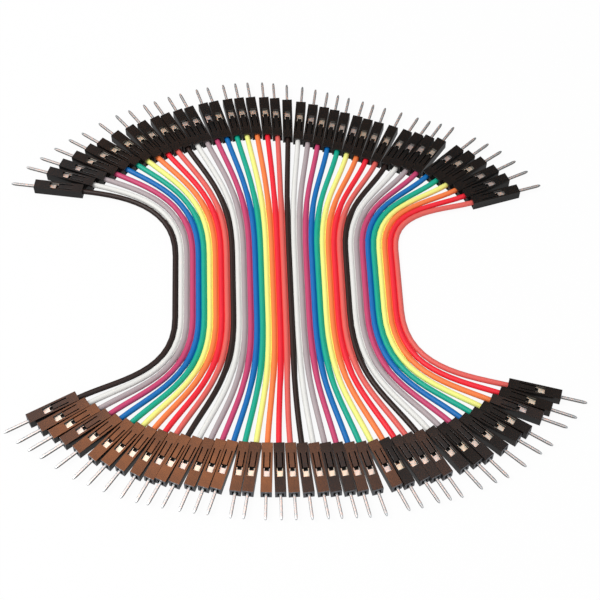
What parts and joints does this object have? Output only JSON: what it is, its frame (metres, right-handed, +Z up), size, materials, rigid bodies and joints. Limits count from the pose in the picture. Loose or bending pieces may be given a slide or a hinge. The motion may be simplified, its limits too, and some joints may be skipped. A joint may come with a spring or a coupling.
{
  "type": "breadboard jumper wire",
  "caption": "Rainbow ribbon of bonded jumper wires, split and fanned at both ends into rows of single-pin plugs, for linking sockets on a prototyping board.",
  "frame": {"origin": "middle of the outline in plan, on the surface that the leads lie on", "axes": "+Y along the bonded ribbon towards the far row of plugs, +X across the ribbon from the black lead to the brown one, +Z up"},
  "size_m": [0.1364, 0.1268, 0.0025],
  "materials": {
    "insulation_black": "smooth flexible PVC insulation, black, slightly waxy sheen",
    "insulation_white": "smooth flexible PVC insulation, white, slightly waxy sheen",
    "insulation_grey": "smooth flexible PVC insulation, grey, slightly waxy sheen",
    "insulation_purple": "smooth flexible PVC insulation, purple, slightly waxy sheen",
    "insulation_blue": "smooth flexible PVC insulation, blue, slightly waxy sheen",
    "insulation_green": "smooth flexible PVC insulation, green, slightly waxy sheen",
    "insulation_yellow": "smooth flexible PVC insulation, yellow, slightly waxy sheen",
    "insulation_orange": "smooth flexible PVC insulation, orange, slightly waxy sheen",
    "insulation_red": "smooth flexible PVC insulation, red, slightly waxy sheen",
    "insulation_brown": "smooth flexible PVC insulation, brown, slightly waxy sheen",
    "housing_black": "smooth moulded black plastic, semi-gloss",
    "contact_metal": "bright plated sheet metal with a pale warm tint"
  },
  "bodies": {
    "root": {"wire_01_black": "insulation_black", "housing_01_far": "housing_black", "contact_01_far": "contact_metal", "housing_01_near": "housing_black", "contact_01_near": "contact_metal", "lead_02_white": "insulation_white", "lead_03_grey": "insulation_grey", "lead_04_purple": "insulation_purple", "lead_05_blue": "insulation_blue", "lead_06_green": "insulation_green", "lead_07_yellow": "insulation_yellow", "lead_08_orange": "insulation_orange", "lead_09_red": "insulation_red", "lead_10_brown": "insulation_brown", "wire_11_black": "insulation_black", "housing_11_far": "housing_black", "contact_11_far": "contact_metal", "housing_11_near": "housing_black", "contact_11_near": "contact_metal", "lead_12_white": "insulation_white", "lead_13_grey": "insulation_grey", "lead_14_purple": "insulation_purple", "lead_15_blue": "insulation_blue", "lead_16_green": "insulation_green", "lead_17_yellow": "insulation_yellow", "lead_18_orange": "insulation_orange", "lead_19_red": "insulation_red", "lead_20_brown": "insulation_brown", "wire_21_black": "insulation_black", "housing_21_far": "housing_black", "contact_21_far": "contact_metal", "housing_21_near": "housing_black", "contact_21_near": "contact_metal", "lead_22_white": "insulation_white", "lead_23_grey": "insulation_grey", "lead_24_purple": "insulation_purple", "lead_25_blue": "insulation_blue", "lead_26_green": "insulation_green", "lead_27_yellow": "insulation_yellow", "lead_28_orange": "insulation_orange", "lead_29_red": "insulation_red", "lead_30_brown": "insulation_brown", "wire_31_black": "insulation_black", "housing_31_far": "housing_black", "contact_31_far": "contact_metal", "housing_31_near": "housing_black", "contact_31_near": "contact_metal", "lead_32_white": "insulation_white", "lead_33_grey": "insulation_grey", "lead_34_purple": "insulation_purple", "lead_35_blue": "insulation_blue", "lead_36_green": "insulation_green", "lead_37_yellow": "insulation_yellow", "lead_38_orange": "insulation_orange", "lead_39_red": "insulation_red", "wire_40_brown": "insulation_brown", "housing_40_far": "housing_black", "contact_40_far": "contact_metal", "housing_40_near": "housing_black", "contact_40_near": "contact_metal"}
  },
  "joints": []
}
